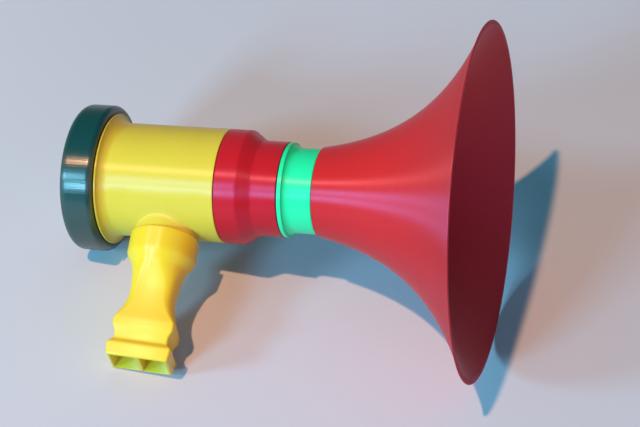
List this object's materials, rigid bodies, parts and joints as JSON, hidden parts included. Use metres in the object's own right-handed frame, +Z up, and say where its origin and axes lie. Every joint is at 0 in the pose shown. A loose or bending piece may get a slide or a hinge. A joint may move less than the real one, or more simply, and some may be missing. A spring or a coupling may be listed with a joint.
{
  "type": "membrane horn",
  "caption": "Side-blown membrane horn with screw-on retaining ring, round body, turnable mouthpiece, tuning adapter, collar and flared bell, lying on its rims.",
  "frame": {"origin": "Centre of the footprint's bounding box, on the table that the horn lies on", "axes": "+X runs along the table under the horn's axis, from the retaining ring to the bell; +Z is up; the mouthpiece points to -Y and down to the table"},
  "size_m": [0.1692, 0.1352, 0.126],
  "materials": {
    "ring_plastic": "glossy near-black teal printed plastic with fine layer lines",
    "membrane_rubber": "thin matt elastic sheet",
    "body_plastic": "semi-gloss greenish yellow printed plastic",
    "mouthpiece_plastic": "semi-gloss warm yellow printed plastic",
    "red_plastic": "semi-gloss red printed plastic",
    "collar_plastic": "satin spring green printed plastic",
    "bell_plastic": "semi-gloss red printed plastic, darker inside"
  },
  "bodies": {
    "horn_body": {"body": "body_plastic"},
    "membrane_disc": {"membrane": "membrane_rubber"},
    "screw_ring": {"retaining_ring": "ring_plastic"},
    "blow_piece": {"mouthpiece": "mouthpiece_plastic"},
    "tuning_slide": {"adapter": "red_plastic", "inner_tube": "red_plastic"},
    "collar_ring": {"collar": "collar_plastic"},
    "bell_cone": {"bell": "bell_plastic"}
  },
  "joints": [
    {"name": "ring_travel", "type": "slide", "parent": "horn_body", "child": "membrane_disc", "axis": [-0.9694, 0, -0.2457], "range_m": [0, 0.006]},
    {"name": "ring_turn", "type": "hinge", "parent": "membrane_disc", "child": "screw_ring", "pos_m": [-0.07602, 0.00257, 0.02635], "axis": [-0.9694, 0, -0.2457], "range_deg": [0, 720]},
    {"name": "mouthpiece_turn", "type": "hinge", "parent": "horn_body", "child": "blow_piece", "pos_m": [-0.04106, -0.01836, 0.02641], "axis": [0.0928, -0.926, -0.366], "continuous": true},
    {"name": "adapter_slide", "type": "slide", "parent": "horn_body", "child": "tuning_slide", "axis": [0.9694, 0, 0.2457], "range_m": [0, 0.008]},
    {"name": "collar_turn", "type": "hinge", "parent": "tuning_slide", "child": "collar_ring", "pos_m": [-0.00138, 0.00257, 0.04527], "axis": [0.9694, 0, 0.2457], "continuous": true},
    {"name": "bell_pull", "type": "slide", "parent": "collar_ring", "child": "bell_cone", "axis": [0.9694, 0, 0.2457], "range_m": [0, 0.0075]}
  ],
  "couplings": [
    {"joint": "ring_turn", "follows": "ring_travel", "rad_per_m": 2094}
  ]
}
